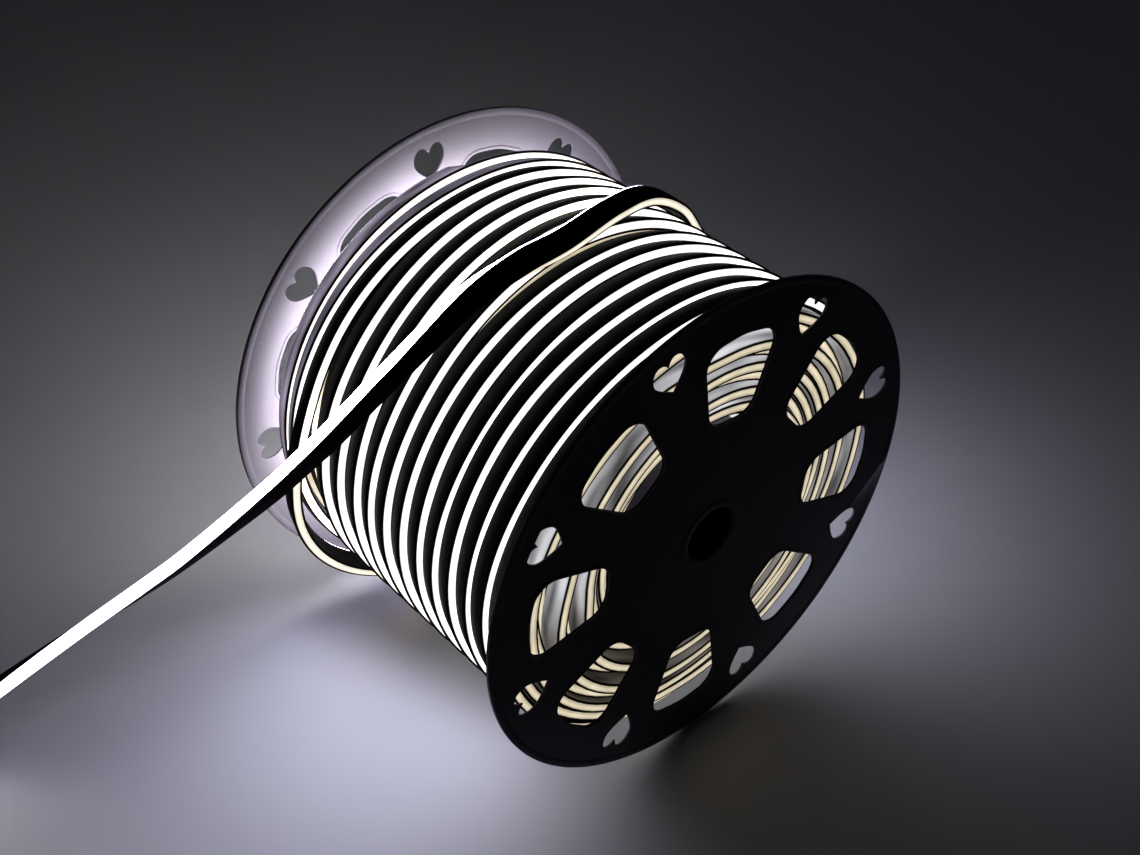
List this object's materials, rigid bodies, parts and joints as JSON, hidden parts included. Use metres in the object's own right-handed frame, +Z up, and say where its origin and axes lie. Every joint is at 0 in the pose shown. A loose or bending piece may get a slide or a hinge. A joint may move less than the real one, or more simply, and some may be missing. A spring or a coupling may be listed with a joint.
{
  "type": "reel of led neon flex",
  "caption": "Lit LED neon flex strip wound in layers on a pierced plastic reel that stands on its rims, with one slack turn and a free end that runs to the floor.",
  "frame": {"origin": "on the floor, below the middle of the reel's axle line", "axes": "+X along the axle line towards the near flange, +Y towards the back of the reel, away from the free end, +Z up"},
  "size_m": [0.3731, 0.7573, 0.35],
  "materials": {
    "reel_plastic": "satin",
    "flex_wall": "satin",
    "flex_lit_face": "matte",
    "flex_back": "matte",
    "cap_plastic": "satin"
  },
  "bodies": {
    "root": {"near_flange": "reel_plastic", "far_flange": "reel_plastic", "core_tube": "reel_plastic", "flex_winding": "flex_wall", "loose_turn": "flex_wall", "flex_tail": "flex_wall", "tail_end_cap": "cap_plastic"}
  },
  "joints": []
}
